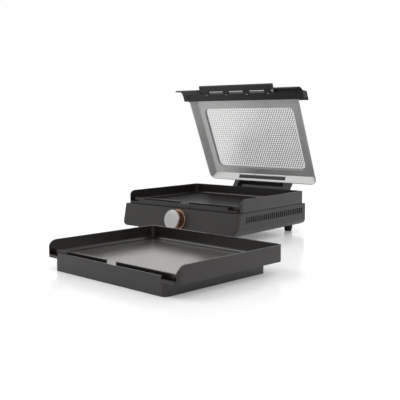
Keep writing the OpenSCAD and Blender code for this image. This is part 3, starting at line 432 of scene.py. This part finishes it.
window = link("mesh_window", perforated(sheet_low, sheet_high, MESH_PITCH, MESH_HOLE, MESH_CORNER), leaning)
thick = window.modifiers.new("sheet", "SOLIDIFY")
thick.thickness = MESH_SHEET
thick.offset = 0
stand_for(window, "mesh_steel", "lid", "lid_mesh")

# ---------------------------------------------------------------- dial

turn = joints["dial_turn"]
axis = Vector(turn["axis"]).normalized()
upright = Vector((0, 0, 1)).rotation_difference(axis).to_matrix().to_4x4()
on_dial = Matrix.Translation(Vector(turn["pos_m"])) @ upright


def lathe(name, profile, matrix):
    """A closed profile of (radius, height) points in millimetres, turned about the matrix's Z axis."""
    bm = bmesh.new()
    turns = [2 * math.pi * k / LATHE_STEPS for k in range(LATHE_STEPS)]
    rings = []
    for r, z in profile:
        if r == 0:
            rings.append([bm.verts.new((0, 0, z * MM))])
        else:
            rings.append([bm.verts.new((r * MM * math.cos(a), r * MM * math.sin(a), z * MM)) for a in turns])
    for a, b in zip(rings, rings[1:] + rings[:1]):
        if len(a) == 1 and len(b) == 1:
            continue
        for k in range(LATHE_STEPS):
            j = (k + 1) % LATHE_STEPS
            corners = [a[k % len(a)], a[j % len(a)], b[j % len(b)], b[k % len(b)]]
            bm.faces.new(list(dict.fromkeys(corners)))
    bmesh.ops.recalc_face_normals(bm, faces=bm.faces)
    mesh = bpy.data.meshes.new(name)
    bm.to_mesh(mesh)
    bm.free()
    smooth(mesh, LATHE_TURN)
    return link(name, mesh, matrix)


cap = lathe("dial_face", [
    (3.2, 18.6), (23.0, 18.6), (23.9, 19.2), (24.0, 20.4), (23.8, 21.6), (23.1, 22.4), (22.2, 22.6),
    (21.6, 22.35), (20.8, 22.3), (19.9, 22.6), (10.0, 22.95), (0, 23.0), (0, 19.2), (3.2, 19.2)], on_dial)
stand_for(cap, "dial_metal", "dial", "dial_cap")
sleeve = lathe("dial_ring", [
    (22.85, 4.1), (23.6, 4.0), (23.95, 4.4), (24.0, 17.6), (23.6, 18.1), (23.2, 18.4), (22.85, 18.4)], on_dial)
stand_for(sleeve, "copper_trim", "dial", "dial_sleeve")
body = lathe("dial_core", [
    (9.0, 1.75), (24.0, 1.75), (24.45, 2.1), (24.5, 3.4), (24.2, 3.9), (22.7, 3.95), (22.75, 18.5),
    (3.1, 18.5), (3.1, 4.6), (9.0, 4.6)], on_dial)
stand_for(body, "black_plastic", "dial", "dial_body")
bezel = lathe("dial_rim", [
    (23.0, 0.02), (27.0, 0.02), (27.0, 0.7), (26.7, 1.1), (26.2, 1.38), (23.4, 1.38), (23.0, 1.1)], on_dial)
stand_for(bezel, "copper_trim", "base", "dial_bezel")

# ---------------------------------------------------------------- camera and lamps

# Places are measured from the stage's middle. The camera is fitted to the photo's base, lid and window
CAMERA_AT = (1.1706, -1.5025, 0.2974)
CAMERA_TARGET = (-0.05476, 0, 0.08093)
CAMERA_LENS = 63.29
CAMERA_SENSOR = 36


def aim(obj, place, target):
    obj.location = centre + Vector(place)
    obj.rotation_mode = "QUATERNION"
    obj.rotation_quaternion = (centre + Vector(target) - obj.location).to_track_quat("-Z", "Y")


def lamp(name, place, target, size, power):
    data = bpy.data.lights.new(name, "AREA")
    data.shape = "RECTANGLE"
    data.size, data.size_y = size
    data.energy = power
    aim(link(name, data), place, target)


camera = bpy.data.cameras.new("camera")
camera.lens = CAMERA_LENS
camera.sensor_width = CAMERA_SENSOR
camera.clip_start, camera.clip_end = 0.01, 100
scene.camera = link("camera", camera)
aim(scene.camera, CAMERA_AT, CAMERA_TARGET)

lamp("key", place=(-1.3, -1.4, 1.9), target=(0, 0, 0.1), size=(1.6, 1.2), power=20)
lamp("side", place=(2.2, -0.6, 1.3), target=(0, 0, 0.1), size=(1.2, 1.2), power=13)
lamp("back", place=(0.4, 2.0, 1.6), target=(0, 0, 0.2), size=(2.0, 1.0), power=22)

# ---------------------------------------------------------------- white surroundings

# Strength of the surroundings as they are seen, and as they light the grill
SEEN_LIGHT = 1.0
CAST_LIGHT = 0.76

world = bpy.data.worlds.new("studio")
scene.world = world
world.use_nodes = True
sky = world.node_tree
sky.nodes.clear()
out = add(sky, "OutputWorld")
seen = add(sky, "Background", {"Color": grey(1), "Strength": SEEN_LIGHT})
cast = add(sky, "Background", {"Color": grey(1), "Strength": CAST_LIGHT})
looking = rays(sky, "Camera", "Glossy", "Transmission")
sky.links.new(either(sky, looking, cast.outputs[0], seen.outputs[0]), out.inputs["Surface"])

# ---------------------------------------------------------------- floor

FLOOR_ROUGH = 0.17
# The floor's own light, which only the camera and the reflections see
FLOOR_GLOW = 0.14
# Distances from the origin between which the floor turns into the white background
FADE_FROM = 0.75
FADE_TO = 1.9
FLOOR_REACH = 12.0
# How far the floor lies under the feet, so that the two don't share a plane
FLOOR_DROP = 0.0002


def floor_material():
    m = bpy.data.materials.new("floor")
    m.use_nodes = True
    nt = m.node_tree
    bsdf = nt.nodes["Principled BSDF"]
    bsdf.inputs["Roughness"].default_value = FLOOR_ROUGH
    bsdf.inputs["Specular IOR Level"].default_value = 0.5
    coord = add(nt, "TexCoord")
    noise = add(nt, "TexNoise", {"Scale": 3.0})
    nt.links.new(coord.outputs["Object"], noise.inputs["Vector"])
    nt.links.new(coloured(nt, noise.outputs["Fac"], grey(0.9), grey(0.94)), bsdf.inputs["Base Color"])
    looking = rays(nt, "Camera", "Glossy")
    dark = add(nt, "Emission", {"Strength": 0.0})
    glow = add(nt, "Emission", {"Strength": FLOOR_GLOW})
    total = add(nt, "AddShader")
    nt.links.new(bsdf.outputs[0], total.inputs[0])
    nt.links.new(either(nt, looking, dark.outputs[0], glow.outputs[0]), total.inputs[1])
    far = add(nt, "VectorMath", operation="LENGTH")
    nt.links.new(coord.outputs["Object"], far.inputs[0])
    fade = add(nt, "MapRange", {"From Min": FADE_FROM, "From Max": FADE_TO}, interpolation_type="SMOOTHSTEP")
    nt.links.new(far.outputs["Value"], fade.inputs["Value"])
    share = add(nt, "Math", operation="MULTIPLY")
    nt.links.new(fade.outputs["Result"], share.inputs[0])
    nt.links.new(looking, share.inputs[1])
    white = add(nt, "Emission", {"Strength": 1.0})
    last = either(nt, share.outputs[0], total.outputs[0], white.outputs[0])
    nt.links.new(last, nt.nodes["Material Output"].inputs["Surface"])
    return m


corners = [(x * FLOOR_REACH, y * FLOOR_REACH, 0) for x, y in ((-1, -1), (1, -1), (1, 1), (-1, 1))]
floor_mesh = bpy.data.meshes.new("floor")
floor_mesh.from_pydata(corners, [], [(0, 1, 2, 3)])
floor = link("floor", floor_mesh, Matrix.Translation((0, 0, -FLOOR_DROP)))
floor_mesh.materials.append(floor_material())

scene.view_settings.view_transform = "Standard"
